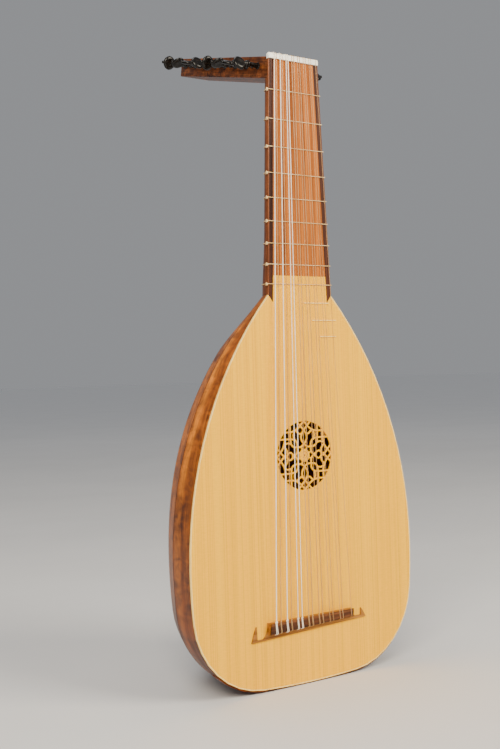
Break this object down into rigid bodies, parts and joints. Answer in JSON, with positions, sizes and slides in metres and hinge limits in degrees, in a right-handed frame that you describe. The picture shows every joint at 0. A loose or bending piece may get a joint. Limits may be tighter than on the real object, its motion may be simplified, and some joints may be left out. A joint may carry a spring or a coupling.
{
  "type": "lute",
  "caption": "Renaissance lute with a ribbed bowl, carved rose, tied frets that slide and a bent-back pegbox whose tapered pegs turn.",
  "frame": {"origin": "middle of the flat back of the pegbox, on its surface", "axes": "+X to the treble side, +Y from the soundboard towards the back, +Z along the neck from the tail to the nut"},
  "size_m": [0.3, 0.2078, 0.7211],
  "materials": {
    "spruce_top": "satin, straight fine grain along the strings",
    "pale_binding": "satin",
    "rib_maple": "glossy varnish over figured maple",
    "inner_spruce": "bare",
    "neck_wood": "satin",
    "fingerboard_wood": "satin, straight grain",
    "dark_trim": "satin",
    "bone": "polished bone",
    "pegbox_wood": "glossy varnish over curly wood",
    "peg_ebony": "polished",
    "fret_gut": "gut",
    "string_gut": "translucent gut",
    "string_white": "smooth white",
    "bridge_wood": "satin"
  },
  "bodies": {
    "lute": {"soundboard": "spruce_top", "edge_binding": "pale_binding", "rib_01": "rib_maple", "rib_02": "rib_maple", "rib_03": "rib_maple", "rib_04": "rib_maple", "rib_05": "rib_maple", "rib_06": "rib_maple", "rib_07": "rib_maple", "rib_08": "rib_maple", "rib_09": "rib_maple", "rib_10": "rib_maple", "rib_11": "rib_maple", "rib_fillets": "dark_trim", "end_clasp": "rib_maple", "body_blocks": "inner_spruce", "soundboard_bars": "inner_spruce", "neck": "neck_wood", "fingerboard": "fingerboard_wood", "fingerboard_edges": "dark_trim", "nut": "bone", "pegbox_cheek_bass": "pegbox_wood", "pegbox_cheek_treble": "pegbox_wood", "pegbox_back": "pegbox_wood", "pegbox_blocks": "pegbox_wood", "course_1": "string_gut", "course_2": "string_gut", "course_3": "string_gut", "course_4": "string_gut", "course_5": "string_gut", "course_6": "string_white", "course_7": "string_white", "course_8": "string_white", "body_frets": "pale_binding", "bridge": "bridge_wood", "bridge_cap": "dark_trim"},
    "peg_01": {"peg_01": "peg_ebony"},
    "peg_02": {"peg_02": "peg_ebony"},
    "peg_03": {"peg_03": "peg_ebony"},
    "peg_04": {"peg_04": "peg_ebony"},
    "peg_05": {"peg_05": "peg_ebony"},
    "peg_06": {"peg_06": "peg_ebony"},
    "peg_07": {"peg_07": "peg_ebony"},
    "peg_08": {"peg_08": "peg_ebony"},
    "peg_09": {"peg_09": "peg_ebony"},
    "peg_10": {"peg_10": "peg_ebony"},
    "peg_11": {"peg_11": "peg_ebony"},
    "peg_12": {"peg_12": "peg_ebony"},
    "peg_13": {"peg_13": "peg_ebony"},
    "peg_14": {"peg_14": "peg_ebony"},
    "peg_15": {"peg_15": "peg_ebony"},
    "fret_1": {"fret_1": "fret_gut"},
    "fret_2": {"fret_2": "fret_gut"},
    "fret_3": {"fret_3": "fret_gut"},
    "fret_4": {"fret_4": "fret_gut"},
    "fret_5": {"fret_5": "fret_gut"},
    "fret_6": {"fret_6": "fret_gut"},
    "fret_7": {"fret_7": "fret_gut"},
    "fret_8": {"fret_8": "fret_gut"},
    "fret_9": {"fret_9": "fret_gut"}
  },
  "joints": [
    {"name": "peg_01_turn", "type": "hinge", "parent": "lute", "child": "peg_01", "pos_m": [0, -0.08967, -0.00906], "axis": [-1, 0, 0], "continuous": true},
    {"name": "peg_02_turn", "type": "hinge", "parent": "lute", "child": "peg_02", "pos_m": [0, -0.07817, -0.0062], "axis": [1, 0, 0], "continuous": true},
    {"name": "peg_03_turn", "type": "hinge", "parent": "lute", "child": "peg_03", "pos_m": [0, -0.06667, -0.00333], "axis": [-1, 0, 0], "continuous": true},
    {"name": "peg_04_turn", "type": "hinge", "parent": "lute", "child": "peg_04", "pos_m": [0, -0.05518, -0.00046], "axis": [1, 0, 0], "continuous": true},
    {"name": "peg_05_turn", "type": "hinge", "parent": "lute", "child": "peg_05", "pos_m": [0, -0.04368, 0.0024], "axis": [-1, 0, 0], "continuous": true},
    {"name": "peg_06_turn", "type": "hinge", "parent": "lute", "child": "peg_06", "pos_m": [0, -0.03218, 0.00527], "axis": [1, 0, 0], "continuous": true},
    {"name": "peg_07_turn", "type": "hinge", "parent": "lute", "child": "peg_07", "pos_m": [0, -0.02068, 0.00814], "axis": [-1, 0, 0], "continuous": true},
    {"name": "peg_08_turn", "type": "hinge", "parent": "lute", "child": "peg_08", "pos_m": [0, -0.00919, 0.011], "axis": [1, 0, 0], "continuous": true},
    {"name": "peg_09_turn", "type": "hinge", "parent": "lute", "child": "peg_09", "pos_m": [0, 0.00231, 0.01387], "axis": [-1, 0, 0], "continuous": true},
    {"name": "peg_10_turn", "type": "hinge", "parent": "lute", "child": "peg_10", "pos_m": [0, 0.01381, 0.01674], "axis": [1, 0, 0], "continuous": true},
    {"name": "peg_11_turn", "type": "hinge", "parent": "lute", "child": "peg_11", "pos_m": [0, 0.02531, 0.01961], "axis": [-1, 0, 0], "continuous": true},
    {"name": "peg_12_turn", "type": "hinge", "parent": "lute", "child": "peg_12", "pos_m": [0, 0.03681, 0.02247], "axis": [1, 0, 0], "continuous": true},
    {"name": "peg_13_turn", "type": "hinge", "parent": "lute", "child": "peg_13", "pos_m": [0, 0.04831, 0.02534], "axis": [-1, 0, 0], "continuous": true},
    {"name": "peg_14_turn", "type": "hinge", "parent": "lute", "child": "peg_14", "pos_m": [0, 0.0598, 0.02821], "axis": [1, 0, 0], "continuous": true},
    {"name": "peg_15_turn", "type": "hinge", "parent": "lute", "child": "peg_15", "pos_m": [0, 0.0713, 0.03107], "axis": [-1, 0, 0], "continuous": true},
    {"name": "fret_1_slide", "type": "slide", "parent": "lute", "child": "fret_1", "axis": [0, 0, 1], "range_m": [-0.001, 0.003]},
    {"name": "fret_2_slide", "type": "slide", "parent": "lute", "child": "fret_2", "axis": [0, 0, 1], "range_m": [-0.001, 0.003]},
    {"name": "fret_3_slide", "type": "slide", "parent": "lute", "child": "fret_3", "axis": [0, 0, 1], "range_m": [-0.001, 0.003]},
    {"name": "fret_4_slide", "type": "slide", "parent": "lute", "child": "fret_4", "axis": [0, 0, 1], "range_m": [-0.001, 0.003]},
    {"name": "fret_5_slide", "type": "slide", "parent": "lute", "child": "fret_5", "axis": [0, 0, 1], "range_m": [-0.001, 0.003]},
    {"name": "fret_6_slide", "type": "slide", "parent": "lute", "child": "fret_6", "axis": [0, 0, 1], "range_m": [-0.001, 0.003]},
    {"name": "fret_7_slide", "type": "slide", "parent": "lute", "child": "fret_7", "axis": [0, 0, 1], "range_m": [-0.001, 0.003]},
    {"name": "fret_8_slide", "type": "slide", "parent": "lute", "child": "fret_8", "axis": [0, 0, 1], "range_m": [-0.001, 0.003]},
    {"name": "fret_9_slide", "type": "slide", "parent": "lute", "child": "fret_9", "axis": [0, 0, 1], "range_m": [-0.001, 0.003]}
  ]
}
